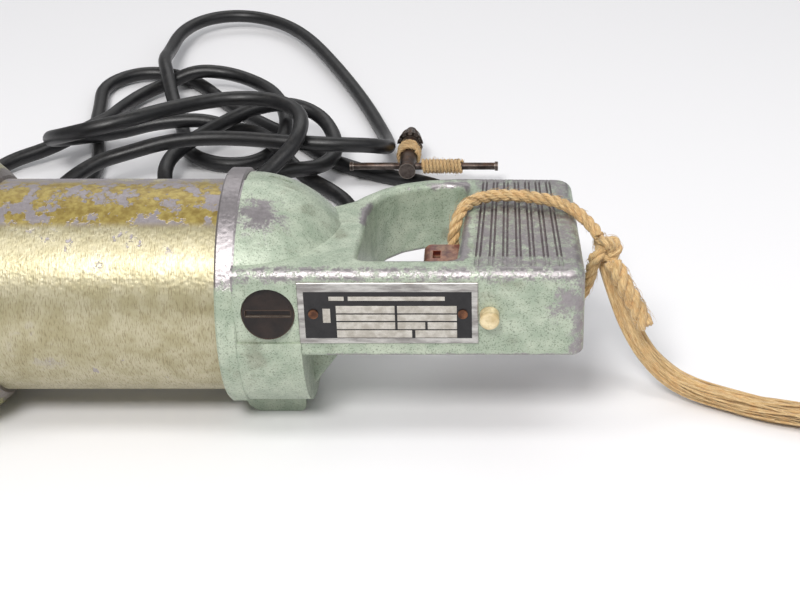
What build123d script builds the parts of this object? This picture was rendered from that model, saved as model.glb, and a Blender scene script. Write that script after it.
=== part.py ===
from build123d import *
import math
import os

# Electric hand drill with a D handle, lying on its side the way it rests on a bench.
# Millimetres. +X runs from the chuck to the handle, +Y away from the nameplate, +Z up.
# The bench is z = 0. The motor axis is level, AXIS_Z above it.
AXIS_Z = 49.5

# Stations along X, front to back.
JAW_TIP_X = -178.0
CHUCK_NOSE_X = -172.0
CHUCK_REAR_X = -117.0
COLLAR_FRONT_X = -112.0
GEARBOX_REAR_X = -44.0
RING_FRONT_X = 43.0
RING_REAR_X = 50.5
BULGE_END_X = 74.0
BRUSH_X = 62.6
HANDLE_END_X = 178.0

# Motor housing and the shells behind it.
HOUSING_R = 41.0
HOUSING_WALL = 3.0
RING_R = 45.5
NEAR_FACE_Y = -44.2
FAR_EDGE_Y = 48.0
TRAY_DEPTH = 6.0
TOP_NEAR = 30.0
TOP_FAR = 23.0
SHELL_WALL = 3.0

# Gears: module, pressure angle, teeth, and the one centre distance both stages share.
MODULE = 0.75
PRESSURE = math.radians(25)
MOTOR_TEETH = 10
LAY_GEAR_TEETH = 46
LAY_PINION_TEETH = 12
OUTPUT_TEETH = 44
CENTRE = MODULE * (MOTOR_TEETH + LAY_GEAR_TEETH) / 2

# Mains cable.
CABLE_R = 3.8


def rod(x0, x1, radius, y=0.0, z=AXIS_Z):
    """A cylinder along X from x0 to x1."""
    return Pos((x0 + x1) / 2, y, z) * (Rot(0, 90, 0) * Cylinder(radius, abs(x1 - x0)))


def bush(x0, x1, outer, inner, y=0.0, z=AXIS_Z):
    return rod(x0, x1, outer, y, z) - rod(x0 - 1, x1 + 1, inner, y, z)


def box(x0, x1, y0, y1, z0, z1):
    return Pos((x0 + x1) / 2, (y0 + y1) / 2, (z0 + z1) / 2) * Box(x1 - x0, y1 - y0, z1 - z0)


def turned(points):
    """A lathe-turned solid from (x, radius) points, about the motor axis."""
    face = make_face(Polyline([(x, 0, r) for x, r in points], close=True))
    return Pos(0, 0, AXIS_Z) * revolve(face, Axis.X, 360)


def along_y(y0, y1, radius, x, z):
    """A cylinder along Y from y0 to y1."""
    return Pos(x, (y0 + y1) / 2, z) * (Rot(90, 0, 0) * Cylinder(radius, y1 - y0))


def prism(points, z0, z1):
    """A plan outline of straight sides, raised from z0 to z1."""
    face = make_face(Polyline([(x, y, z0) for x, y in points], close=True))
    return extrude(face, z1 - z0, dir=(0, 0, 1))


def side_prism(points, y0, y1):
    """An outline in X and Z, carried from y0 to y1."""
    face = make_face(Polyline([(x, y0, z) for x, z in points], close=True))
    return extrude(face, y1 - y0, dir=(0, 1, 0))


def gear(teeth, x0, x1, y, tooth_angle):
    """An involute spur gear along X, with one tooth centred on tooth_angle (degrees from +Y)."""
    pitch_r = MODULE * teeth / 2
    base_r = pitch_r * math.cos(PRESSURE)
    tip_r = pitch_r + 0.8 * MODULE
    root_r = pitch_r - 1.05 * MODULE
    involute = math.tan(PRESSURE) - PRESSURE
    half_at_pitch = math.pi / (2 * teeth) - 0.05 / pitch_r
    flank = []
    for step in range(5):
        r = max(base_r, root_r) + (tip_r - max(base_r, root_r)) * step / 4
        angle = math.acos(min(1.0, base_r / r))
        flank.append((r, half_at_pitch + involute - (math.tan(angle) - angle)))
    if root_r < base_r:
        flank.insert(0, (root_r, flank[0][1]))
    points = []
    for tooth in range(teeth):
        centre = math.radians(tooth_angle) + 2 * math.pi * tooth / teeth
        for r, half in flank:
            points.append((r * math.cos(centre - half), r * math.sin(centre - half)))
        for r, half in reversed(flank):
            points.append((r * math.cos(centre + half), r * math.sin(centre + half)))
    face = make_face(Polyline([(x0, y + py, AXIS_Z + pz) for py, pz in points], close=True))
    return extrude(face, x1 - x0, dir=(1, 0, 0))


def spring(start, direction, length, radius, wire, turns):
    """A closed-wound wire spring from start along direction."""
    helix = Helix(pitch=(length - wire * 2) / turns, height=length - wire * 2, radius=radius)
    plane = Plane(origin=helix @ 0, z_dir=helix % 0)
    coil = sweep(plane * Circle(wire), path=helix)
    place = Plane(origin=start, z_dir=direction)
    return place * (Pos(0, 0, wire) * coil)


parts = {}

# ---------------------------------------------------------------- motor housing
parts["motor_housing"] = bush(-54, 49, HOUSING_R, HOUSING_R - HOUSING_WALL)

# Gear housing: a socket for the motor housing, a shoulder for the gear plate, the gear
# room, and a clamping collar of the common 43 mm size round the spindle.
COLLAR_R = 21.5
gear_housing = turned([
    (GEARBOX_REAR_X, 0), (GEARBOX_REAR_X, 42.4), (-46.5, 45), (-52, 49.5), (-67, 49.5),
    (-80, 44), (-90, 33), (-92, 31), (-92, COLLAR_R), (COLLAR_FRONT_X + 1, COLLAR_R),
    (COLLAR_FRONT_X, COLLAR_R - 1), (COLLAR_FRONT_X, 0),
])
gear_housing -= turned([
    (GEARBOX_REAR_X + 1, 0), (GEARBOX_REAR_X + 1, HOUSING_R), (-60, HOUSING_R), (-60, 39.5),
    (-62, 39.5), (-64, 44), (-72, 43), (-83, 36), (-84, 34), (-84, 0),
])
gear_housing -= rod(-113, -80, 12)
gear_housing -= rod(-90, -80, 6, y=CENTRE)
gear_housing += box(-74, -60, -9, 9, AXIS_Z + 40, AXIS_Z + 49.4)
gear_housing -= Pos(-67, 0, AXIS_Z + 47) * Cylinder(4, 6)
parts["gear_housing"] = gear_housing

# Gear plate between the motor and the gears, with the front armature bush at its centre.
plate_ = bush(-60, -54, HOUSING_R, 8)
plate_ -= rod(-61, -56, 6, y=CENTRE)
parts["gear_plate"] = plate_

parts["spindle_bush"] = bush(COLLAR_FRONT_X + 1, -86, 12, 8.05)
parts["layshaft_bushes"] = bush(-90, -84, 6, 3.05, y=CENTRE) + bush(-61, -56, 6, 3.05, y=CENTRE)
parts["armature_front_bush"] = bush(-60, -54, 8, 3.05)
parts["armature_rear_bush"] = bush(75, 83, 8, 4.05)

# ---------------------------------------------------------------- spindle and chuck
parts["spindle"] = rod(-133, -112.5, 6.5) + rod(-112.5, -73, 8.0)
parts["output_gear"] = gear(OUTPUT_TEETH, -82, -74, 0, 0) - rod(-83, -73, 8.0)

JAW_ANGLE = 16.0
JAW_R = 2.4
CHUCK_BODY_R = 16.0
CHUCK_BORE_R = 5.25
JAW_TURNS = (90, 210, 330)


def jaw_line(turn, radius, x0, x1):
    """A cylinder on a jaw's slanted line, between two stations measured along X."""
    slope = math.radians(JAW_ANGLE)
    length = (x1 - x0) / math.cos(slope)
    mid_x = (x0 + x1) / 2
    mid_r = 6.0 + (mid_x - CHUCK_NOSE_X) * math.tan(slope)
    bar = Rot(0, 90 - JAW_ANGLE, 0) * Cylinder(radius, length)
    return Pos(0, 0, AXIS_Z) * (Rot(turn - 90, 0, 0) * (Pos(mid_x, 0, mid_r) * bar))


chuck_body = turned([
    (CHUCK_NOSE_X, 0), (CHUCK_NOSE_X, 12.5), (-164, CHUCK_BODY_R), (-139, CHUCK_BODY_R),
    (-138, 20), (CHUCK_REAR_X - 2, 20), (CHUCK_REAR_X, 18), (CHUCK_REAR_X, 0),
])
chuck_body -= rod(CHUCK_NOSE_X - 1, -142, CHUCK_BORE_R)
chuck_body -= rod(-133, CHUCK_REAR_X + 1, 6.5)
for turn in JAW_TURNS:
    chuck_body -= jaw_line(turn, JAW_R + 0.05, -180, -142)
    hole = Pos(-133, 0, AXIS_Z) * (Rot(turn - 30, 0, 0) * (Pos(0, 0, 16.5) * Cylinder(3.1, 8)))
    chuck_body -= hole
parts["chuck_body"] = chuck_body

sleeve = bush(-163, -140.2, 20, CHUCK_BODY_R + 0.06)
for notch in range(18):
    cut = Pos(-140.2, 0, 18.4) * Box(5, 3.4, 5)
    sleeve -= Pos(0, 0, AXIS_Z) * (Rot(notch * 20, 0, 0) * cut)
for knurl in range(36):
    cut = Pos(-154, 0, 20.3) * Box(12, 1.0, 1.4)
    sleeve -= Pos(0, 0, AXIS_Z) * (Rot(knurl * 10, 0, 0) * cut)
parts["chuck_sleeve"] = sleeve

JAW_TRAVEL = 16.0
WEDGE_R = JAW_TRAVEL * math.sin(math.radians(JAW_ANGLE)) + 0.25
for number, turn in enumerate(JAW_TURNS, 1):
    jaw = jaw_line(turn, JAW_R, JAW_TIP_X, -147)
    jaw -= rod(-185, -140, 5.1)
    wedge = []
    for side in (-1, 1):
        wedge.append((side * 40 * math.sin(math.radians(60)), WEDGE_R + 40 * math.cos(math.radians(60))))
    face = make_face(Polyline([(-190, 0, WEDGE_R), (-190, wedge[0][0], wedge[0][1]),
                               (-190, wedge[1][0], wedge[1][1])], close=True))
    keep = Pos(0, 0, AXIS_Z) * (Rot(turn - 90, 0, 0) * extrude(face, 60, dir=(1, 0, 0)))
    parts[f"chuck_jaw_{number}"] = jaw & keep

# ---------------------------------------------------------------- layshaft
parts["layshaft"] = (rod(-89.5, -56.5, 3.0, y=CENTRE)
                     + gear(LAY_PINION_TEETH, -83, -73, CENTRE, 180 + 180 / LAY_PINION_TEETH))
lay_gear = gear(LAY_GEAR_TEETH, -70.5, -63.5, CENTRE, 180 + 180 / LAY_GEAR_TEETH)
parts["layshaft_gear"] = lay_gear - rod(-72, -62, 3.0, y=CENTRE)

# ---------------------------------------------------------------- armature
parts["armature_shaft"] = (gear(MOTOR_TEETH, -71.5, -62, 0, 0) + rod(-62, -50, 3.0)
                           + rod(-50, 73, 5.0) + rod(73, 84.5, 4.0))
core = bush(-28, 22, 24, 5)
for slot in range(12):
    cut = Pos(-3, 0, 21) * Box(52, 2.4, 8)
    core -= Pos(0, 0, AXIS_Z) * (Rot(slot * 30, 0, 0) * cut)
parts["armature_core"] = core
parts["armature_windings"] = bush(-38, -28, 21, 5) + bush(22, 34, 21, 5)
commutator = bush(55, 68, 14, 5)
for bar in range(24):
    cut = Pos(62, 0, 13.6) * Box(16, 0.5, 1.6)
    commutator -= Pos(0, 0, AXIS_Z) * (Rot(bar * 15, 0, 0) * cut)
parts["commutator"] = commutator
fan = bush(-50, -47.5, 32.5, 5) + bush(-50, -42, 9, 5)
for blade in range(9):
    vane = Pos(-44.75, 0, 20) * Box(5.5, 1.6, 24)
    fan += Pos(0, 0, AXIS_Z) * (Rot(blade * 40, 0, 0) * vane)
parts["cooling_fan"] = fan

# ---------------------------------------------------------------- field
field = bush(-28, 22, HOUSING_R - HOUSING_WALL, 24.7)
for side in (-1, 1):
    field -= box(-30, 24, -30, 30, AXIS_Z + side * 38 - 5, AXIS_Z + side * 38 + 5)
    field -= box(-30, 24, side * 29 - 3.5, side * 29 + 3.5, AXIS_Z - 14, AXIS_Z + 14)
parts["field_core"] = field
coils = None
for side in (-1, 1):
    loop = box(-37, 31, side * 29 - 3.2, side * 29 + 3.2, AXIS_Z - 13.5, AXIS_Z + 13.5)
    coils = loop if coils is None else coils + loop
parts["field_coils"] = coils
bolts = None
for side in (-1, 1):
    bolt = rod(-56, 40, 2.0, z=AXIS_Z + side * 35.6)
    parts["gear_plate"] -= bolt
    bolts = bolt if bolts is None else bolts + bolt
parts["tie_bolts"] = bolts

# ---------------------------------------------------------------- handle shells
# Plan of the D: straight along the nameplate side, curving in to the motor on the far side.
OUTER = [(30, NEAR_FACE_Y), (HANDLE_END_X, NEAR_FACE_Y), (176, 48), (130, 49.2),
         (117, 47.4), (106, 43.4), (98, 37), (92.4, 30.4), (88, 24), (81, 19), (30, 12)]
HAND_HOLE = [(94.5, -33.5), (131, -33.5), (135, 41.2), (124, 40.6), (115.5, 38.8),
             (107.5, 35.4), (101, 29.4), (97.4, 23), (96, 14)]


def rounded_plan(points, radii, z0, z1):
    wire = FilletPolyline([(x, y, z0) for x, y in points], radius=radii, close=True)
    return extrude(make_face(wire), z1 - z0, dir=(0, 0, 1))


def top_slope(drop):
    """Everything under the sloping top of the handle, lowered by drop."""
    rise = (TOP_FAR - TOP_NEAR) / (FAR_EDGE_Y - NEAR_FACE_Y)
    low_y, high_y = -70.0, 70.0
    low_z = AXIS_Z + TOP_NEAR + rise * (low_y - NEAR_FACE_Y) - drop
    high_z = AXIS_Z + TOP_NEAR + rise * (high_y - NEAR_FACE_Y) - drop
    face = make_face(Polyline([(20, low_y, -60), (20, high_y, -60), (20, high_y, high_z),
                               (20, low_y, low_z)], close=True))
    return extrude(face, 180, dir=(1, 0, 0))


def dome(a, b, c, pole_turn, x=RING_REAR_X):
    """An ellipsoid of half lengths a, b, c centred on the motor axis at x."""
    ball = Rot(pole_turn, 0, 0) * Sphere(1)
    return Pos(x, 0, AXIS_Z) * scale(ball, by=(a, b, c))


outer_radii = [8.0, 5.0, 7.0, 30, 20, 16, 16, 16, 10, 10, 8.0]
hole_radii = [4.0, 4.0, 8.0, 6, 8, 10, 8, 8, 20]
block = rounded_plan(OUTER, outer_radii, AXIS_Z - TRAY_DEPTH, AXIS_Z + 36) & top_slope(0)
top_edges = [edge for edge in block.edges() if edge.center().Z > AXIS_Z + 18]
block = fillet(top_edges, 4.0)
hole = rounded_plan(HAND_HOLE, hole_radii, AXIS_Z - 20, AXIS_Z + 50)
grip = block - hole
hole_edges = [edge for edge in grip.edges()
              if edge.center().Z > AXIS_Z + 18 and 92 < edge.center().X < 137
              and edge.bounding_box().min.Y > -36 and edge.bounding_box().max.Y < 43]
rounded = fillet(hole_edges, 2.5)
bottom = [edge for edge in rounded.edges() if edge.bounding_box().max.Z < AXIS_Z - TRAY_DEPTH + 0.01]
rounded = fillet(bottom, 2.0)
rounded &= box(RING_REAR_X - 0.5, 200, -80, 80, 0, 120)

# Bulge over the end of the motor: full on the nameplate side, a slightly lower band beyond
# the lip on the far side.
flank = dome(44.5, 52, 45, 90) & box(46, 110, NEAR_FACE_Y, 0, AXIS_Z - 3, AXIS_Z + 60)
band = dome(43.5, 44, 43.9, -45) & box(46, 110, -1, 60, AXIS_Z - 3, AXIS_Z + 60)
ring = turned([(RING_FRONT_X, 0), (RING_FRONT_X, RING_R - 0.8), (RING_FRONT_X + 0.8, RING_R),
               (RING_REAR_X - 0.6, RING_R), (RING_REAR_X, RING_R - 0.6), (RING_REAR_X, 0)])
flank &= box(RING_REAR_X - 0.5, 110, -80, 80, 0, 120)
upper_half = box(20, 200, -80, 80, AXIS_Z, AXIS_Z + 80)
lower_half = box(20, 200, -80, 80, -10, AXIS_Z)
upper = (rounded + band + flank + ring) & upper_half

# Under the seam: a shallow tray, the lower half of the motor end, a foot and its gusset.
bulge = rod(RING_REAR_X - 0.5, BULGE_END_X, 45.0) & lower_half
foot = box(RING_REAR_X - 4, 70, -15, 15, 0, AXIS_Z - 30)
under_edges = foot.edges().filter_by(Axis.Y).group_by(Axis.Z)[0].sort_by(Axis.X)
foot = fillet(under_edges[0], 6.5)
foot = fillet(foot.edges().filter_by(Axis.Y).group_by(Axis.Z)[0].sort_by(Axis.X)[-1], 2.5)
gusset = side_prism([(66, AXIS_Z - 4), (66, 3.5), (69.5, 5), (99, AXIS_Z - 4)], -14, 14)
gusset = fillet([edge for edge in gusset.edges() if abs(edge.center().Y) > 13.9
                 and edge.center().Z < AXIS_Z - 8 and edge.center().X > 67], 3.0)
far_skirt = dome(43.5, 44, 43.9, -45) & box(46, 110, 0, 60, AXIS_Z - TRAY_DEPTH, AXIS_Z)
lower = ((rounded + ring + far_skirt) & lower_half) + bulge + foot + gusset

# Hollow inside: the motor's room, the channel in the near arm, and the grip.
REAR_SEAT = (75, 83)
motor_room = dome(41.5, 41.2, 41.2, 90) + rod(RING_FRONT_X - 1, RING_REAR_X, HOUSING_R)
motor_room &= box(40, 110, -50, 50, AXIS_Z - 0.01, 120)
channel = prism([(52, -41.2), (174.5, -41.2), (173, 44.5), (139, 44.5), (134.5, -30.5), (134.5, -36.6),
                 (91.5, -36.6), (91.5, 9), (52, 9)], AXIS_Z - 3, AXIS_Z + 36) & top_slope(3)
lower_room = rod(RING_FRONT_X - 1, BULGE_END_X - 2.5, HOUSING_R) & lower_half
gusset_room = side_prism([(74, AXIS_Z), (74, 20), (76, 20), (91, AXIS_Z - 8), (91, AXIS_Z)], -11, 11)
web = rod(*REAR_SEAT, 14) + box(*REAR_SEAT, -6, 6, AXIS_Z, 120)
upper -= motor_room - web
upper -= (channel & upper_half) - web
lower -= lower_room
lower -= (channel & lower_half) - web
lower -= gusset_room - web
armature_way = rod(RING_REAR_X, 74.5, 17) + rod(74, 83, 8) + rod(82.5, 87, 6)
upper -= armature_way
lower -= armature_way

# Brush gear: the line through both brushes crosses the motor axis and leans up to the
# middle of the nameplate side. r runs out from the motor axis.
BRUSH_LEAN = 15.55


def brush_place(side):
    return Pos(BRUSH_X, 0, AXIS_Z) * Rot(-BRUSH_LEAN + (0 if side == "near" else 180), 0, 0)


def brush_rod(side, r0, r1, radius):
    return brush_place(side) * (Pos(0, -(r0 + r1) / 2, 0) * (Rot(90, 0, 0) * Cylinder(radius, r1 - r0)))


def brush_box(side, r0, r1, wide, thick):
    return brush_place(side) * (Pos(0, -(r0 + r1) / 2, 0) * Box(wide, r1 - r0, thick))


CAP_R = 9.7
upper_outer_near = box(BRUSH_X - 12.5, BRUSH_X + 12.5, NEAR_FACE_Y, -30, AXIS_Z, AXIS_Z + 26)
upper += brush_rod("near", 36, 44, 12) & upper_outer_near
lower_outer_far = rod(RING_REAR_X, BULGE_END_X, 44.5) & lower_half
lower += brush_rod("far", 36, 44, 11.2) & lower_outer_far
holders = carbons = caps = springs = None
for side in ("near", "far"):
    for radius, start, stop in ((8.0, 15, 41.6), (CAP_R + 0.15, 41.5, 55)):
        cut = brush_rod(side, start, stop, radius)
        if side == "near":
            upper -= cut
        else:
            lower -= cut
    holder = brush_rod(side, 17, 41.5, 8.0) - brush_box(side, 16, 36.5, 8.1, 6.6)
    holder -= brush_rod(side, 36, 42, 6.0)
    carbon = brush_box(side, 14.4, 27, 8.0, 6.5)
    cap = brush_rod(side, 41.5, 45.6, CAP_R) + brush_rod(side, 36.4, 41.6, 6.0)
    cap -= brush_box(side, 44.2, 46, CAP_R * 1.7, 2.2)
    start = brush_place(side) * Pos(0, -27.1, 0)
    coil = spring(start.position, (start * Pos(0, -1, 0)).position - start.position, 9.2, 2.4, 0.35, 5)
    holders = holder if holders is None else holders + holder
    carbons = carbon if carbons is None else carbons + carbon
    caps = cap if caps is None else caps + cap
    springs = coil if springs is None else springs + coil
parts["brush_holders"] = holders
parts["carbon_brushes"] = carbons
parts["brush_caps"] = caps
parts["brush_springs"] = springs

# Cooling slots in the band beyond the lip.
for lean in (12.5, 37.5, 62.5):
    slot = Pos(63, 0, 43) * (Box(6.4, 2.6, 12) + Pos(3.2, 0, 0) * Cylinder(1.3, 12)
                             + Pos(-3.2, 0, 0) * Cylinder(1.3, 12))
    upper -= Pos(0, 0, AXIS_Z) * (Rot(-lean, 0, 0) * slot)

# ---------------------------------------------------------------- switch and trigger
TRIGGER_TRAVEL = 6.0
TRIGGER_Z = (AXIS_Z + 3, AXIS_Z + 19)
upper -= box(128, 137.5, -29.7, -2.8, TRIGGER_Z[0] - 0.2, TRIGGER_Z[1] + 0.2)
trigger = box(118, 136.7, -29.5, -3.0, *TRIGGER_Z)
trigger = fillet(trigger.edges().filter_by(Axis.Y).group_by(Axis.X)[0], 3.0)
trigger += box(136.6, 138.4, -31.0, -1.5, AXIS_Z + 1.2, AXIS_Z + 20.8)
trigger -= box(121.5, 124.5, -14.0, -8.0, TRIGGER_Z[1] - 2, TRIGGER_Z[1] + 1)
parts["trigger"] = trigger

LOCK_X, LOCK_Z = 143.2, AXIS_Z + 11.8
LOCK_R = 3.6
upper -= along_y(-46, -40, LOCK_R + 0.08, LOCK_X, LOCK_Z)
lock = along_y(-49.2, -40.9, LOCK_R, LOCK_X, LOCK_Z)
lock = fillet(lock.edges().group_by(Axis.Y)[0], 1.0)
lock += along_y(-41.0, -39.6, 5.0, LOCK_X, LOCK_Z) + along_y(-39.7, -34.4, 1.5, LOCK_X, LOCK_Z)
parts["lock_button"] = lock

switch = box(149, 163, -34, -6, AXIS_Z - 2.9, AXIS_Z + 19)
switch += box(136.5, 149.1, -34, -32.4, AXIS_Z + 4, AXIS_Z + 19)
switch -= along_y(-35, -31, 1.7, LOCK_X, LOCK_Z)
parts["switch_body"] = switch
parts["trigger_spring"] = spring((138.5, -16, AXIS_Z + 11), (1, 0, 0), 10.4, 4.0, 0.4, 4)
parts["lock_spring"] = spring((LOCK_X, -39.5, LOCK_Z), (0, 1, 0), 5.4, 2.6, 0.3, 3)

# ---------------------------------------------------------------- mains entry
ENTRY_X, ENTRY_Z = 150.0, AXIS_Z + 1.5
SLEEVE_TIP_Y = 64.0
entry_hole = along_y(43, 52, 6.0, ENTRY_X, ENTRY_Z)
upper -= entry_hole
lower -= entry_hole
taper = Plane(origin=(ENTRY_X, 49.3, ENTRY_Z), z_dir=(0, 1, 0))
sleeve_cone = taper * (Pos(0, 0, (SLEEVE_TIP_Y - 49.3) / 2) * Cone(7.4, 5.0, SLEEVE_TIP_Y - 49.3))
bend_sleeve = sleeve_cone + along_y(44.3, 49.4, 6.0, ENTRY_X, ENTRY_Z)
bend_sleeve += along_y(42.8, 44.4, 8.0, ENTRY_X, ENTRY_Z)
bend_sleeve -= box(140, 160, 42, 45, AXIS_Z - 10, AXIS_Z - 3)
bend_sleeve -= along_y(40, 66, CABLE_R, ENTRY_X, ENTRY_Z)
parts["bend_sleeve"] = bend_sleeve
parts["cable_in_handle"] = along_y(18, SLEEVE_TIP_Y, CABLE_R, ENTRY_X, ENTRY_Z)
parts["terminal_block"] = box(142, 158, 2, 18, AXIS_Z - 2.9, AXIS_Z + 9)
clamp = box(139.5, 160.5, 26, 34, AXIS_Z - 2.9, AXIS_Z + 8) - along_y(25, 35, CABLE_R, ENTRY_X, ENTRY_Z)
clamp_screws = None
for x in (142.5, 157.5):
    clamp -= Pos(x, 30, AXIS_Z + 3) * Cylinder(1.5, 10.2)
    screw = Pos(x, 30, AXIS_Z + 3) * Cylinder(1.5, 10) + Pos(x, 30, AXIS_Z + 9) * Cylinder(2.8, 2)
    screw -= Pos(x, 30, AXIS_Z + 10) * Box(6, 0.8, 1.2)
    clamp_screws = screw if clamp_screws is None else clamp_screws + screw
parts["cable_clamp"] = clamp
parts["clamp_screws"] = clamp_screws

# ---------------------------------------------------------------- shell screws
SHELL_SCREWS = ((87.3, -37.2), (88.5, 14), (170.5, -37.2), (169.5, 40.8))
shell_screws = None
for x, y in SHELL_SCREWS:
    post = Pos(x, y, AXIS_Z + 8) * Cylinder(4.6, 16)
    upper += post & box(60, 177, -43, 46.5, AXIS_Z, AXIS_Z + 20)
    upper -= Pos(x, y, AXIS_Z + 7.5) * Cylinder(2.0, 15.2)
    lower += Pos(x, y, AXIS_Z - 1.75) * Cylinder(4.9, 3.5)
    lower -= Pos(x, y, AXIS_Z - 3) * Cylinder(2.2, 7)
    lower -= Pos(x, y, AXIS_Z - 4.9) * Cylinder(3.9, 3.2)
    screw = Pos(x, y, AXIS_Z + 5.4) * Cylinder(2.0, 17.6) + Pos(x, y, AXIS_Z - 4.6) * Cylinder(3.6, 2.6)
    screw -= Pos(x, y, AXIS_Z - 5.8) * Box(8, 0.9, 1.8)
    shell_screws = screw if shell_screws is None else shell_screws + screw
parts["shell_screws"] = shell_screws

# ---------------------------------------------------------------- nameplate
PLATE_X = (73.7, 139.1)
PLATE_Z = (AXIS_Z + 0.2, AXIS_Z + 25.6)
nameplate = box(*PLATE_X, NEAR_FACE_Y - 0.8, NEAR_FACE_Y, *PLATE_Z)
rivets = None
for x in (79.3, 133.5):
    rivet_z = sum(PLATE_Z) / 2
    hole = along_y(-46, -41.4, 1.2, x, rivet_z)
    nameplate -= hole
    upper -= along_y(-46, -41, 1.2, x, rivet_z)
    rivet = along_y(-45.7, -45.0, 1.8, x, rivet_z) + along_y(-45.1, -41.5, 1.2, x, rivet_z)
    rivets = rivet if rivets is None else rivets + rivet
parts["nameplate"] = nameplate
parts["nameplate_rivets"] = rivets

# Paired finger grooves across the grip, fanning out towards the nameplate side.
GROOVES = 7
SHORT_OF_NEAR = 4.6
PAST_FAR = 3.0
for groove in range(GROOVES):
    near_x = 138.6 + groove * 5.1
    far_x = 141.2 + groove * 4.15
    run = math.hypot(far_x - near_x, FAR_EDGE_Y - NEAR_FACE_Y)
    fan_angle = -math.degrees(math.atan2(far_x - near_x, FAR_EDGE_Y - NEAR_FACE_Y))
    fall = math.degrees(math.atan2(TOP_FAR - TOP_NEAR, FAR_EDGE_Y - NEAR_FACE_Y))
    for side in (-0.75, 0.75):
        strip = Pos(side, (SHORT_OF_NEAR + PAST_FAR) / 2, 0) * Box(0.8, run - SHORT_OF_NEAR + PAST_FAR, 1.2)
        cut = Rot(fall, 0, 0) * (Rot(0, 0, fan_angle) * strip)
        middle = Pos((near_x + far_x) / 2, (NEAR_FACE_Y + FAR_EDGE_Y) / 2,
                     AXIS_Z + (TOP_NEAR + TOP_FAR) / 2)
        upper -= middle * cut

parts["handle_shell_upper"] = upper
parts["handle_shell_lower"] = lower

# ---------------------------------------------------------------- cords
def cord_centre(route, tightest=None):
    """Straight runs joined by tangent arcs; tightest caps the radius where a cord folds over an edge."""
    points = [Vector(*point) for point in route]
    radii = []
    for before, corner, after in zip(points, points[1:], points[2:]):
        arriving, leaving = corner - before, after - corner
        half_turn = math.radians(arriving.get_angle(leaving)) / 2
        radius = 0.45 * min(arriving.length, leaving.length) / math.tan(half_turn)
        radii.append(radius if tightest is None else min(radius, tightest))
    print("cord radii", [round(radius, 1) for radius in radii])
    return FilletPolyline(*points, radius=radii)


def cord(route, radius, tightest=None):
    """A round cord as one solid; its volume is compared with section times length."""
    centre = cord_centre(route, tightest)
    start = Plane(origin=centre @ 0, z_dir=centre % 0)
    solid = sweep(start * Circle(radius), path=centre)
    expected = math.pi * radius ** 2 * centre.length
    print("cord length", round(centre.length, 1), "volume ratio", round(solid.volume / expected, 4))
    return solid


# Mains cable: out of the bend sleeve, down to the bench, a loose tangle behind the tool, to the plug.
CABLE_ROUTE = [
    (150, 64, 51), (150, 77.5, 51), (148, 101, 37), (141, 135, 17.5), (126, 166, 6.5),
    (110, 185, 4), (84, 194, 4), (58, 211, 4), (39, 238, 4), (18, 257, 4), (-7, 287, 4),
    (-25, 315, 4), (-42, 329, 4), (-59, 330, 5), (-73, 322, 4.5), (-80, 306, 4), (-76, 284, 4),
    (-72, 251, 4), (-61, 214, 4), (-60, 188, 4.5), (-70, 168, 4.5), (-89, 161, 4),
    (-107, 169.5, 4), (-114.5, 188, 4), (-107, 206.5, 5.5), (-87, 218, 8), (-70, 233, 13),
    (-63, 250, 11), (-63, 276, 5.5), (-55, 298, 5), (-42, 309, 7), (-27, 312, 13.5),
    (-10, 314, 11.5), (6, 307, 9.5), (21, 288, 10), (30, 258, 13), (34, 238, 12.5),
    (32, 220, 7), (20, 207, 4), (2.5, 204.5, 4.5), (-13, 213, 5.5), (-20, 229, 5),
    (-23, 247, 4), (-34, 278, 9), (-41, 302, 16.5), (-46, 320, 17), (-48, 347, 11),
    (-48, 381, 10), (-39, 404, 9.5), (-23, 415, 9), (-4, 415, 8), (15, 403, 7), (33, 376, 7),
    (53, 332, 6), (72, 284, 5), (85, 243, 4), (89.5, 215, 10.5), (89.5, 197, 18), (82, 184, 25),
    (66, 177, 28.5), (42, 179, 29), (10, 187, 28), (-17, 187, 26.5), (-40, 183, 21),
    (-54, 178, 18.5), (-68, 160, 14), (-72, 139, 9), (-62, 120, 5), (-42, 111, 4),
    (-22, 120, 4), (-14, 141, 4.5), (-18, 166, 7), (-23, 190, 11.5), (-16, 210, 13.5),
    (1, 227, 18), (21, 241, 22.5), (39, 242, 22.5), (53, 235, 18.5), (61, 218, 15.5),
    (64, 197, 14), (57, 181, 14), (42, 170, 18), (25, 161, 16), (17, 146, 12.5), (19, 129, 9),
    (29, 116, 6), (46, 111, 4.5), (62, 117, 4), (74, 131, 4), (76, 153, 4), (66, 172, 4),
    (47, 186, 7.5), (34, 201, 15), (23, 224, 13.5), (7, 237, 10), (-12, 242, 14),
    (-37, 240, 12.5), (-53, 234, 10), (-69, 220, 13.5), (-80, 207, 17.5), (-80, 191, 25.5),
    (-69, 176, 33.5), (-54, 170, 39.5), (-36, 174, 42.5), (-21, 189, 41.5), (-5, 208, 38),
    (13, 215, 37.5), (33, 211, 38), (46, 198, 37.5), (50, 178, 38.5), (47, 162, 34),
    (34, 149, 25.5), (24, 131, 22), (10, 104, 23.5), (-24, 84, 20), (-59, 84, 20),
]
parts["mains_cable"] = cord(CABLE_ROUTE, CABLE_R)

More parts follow.
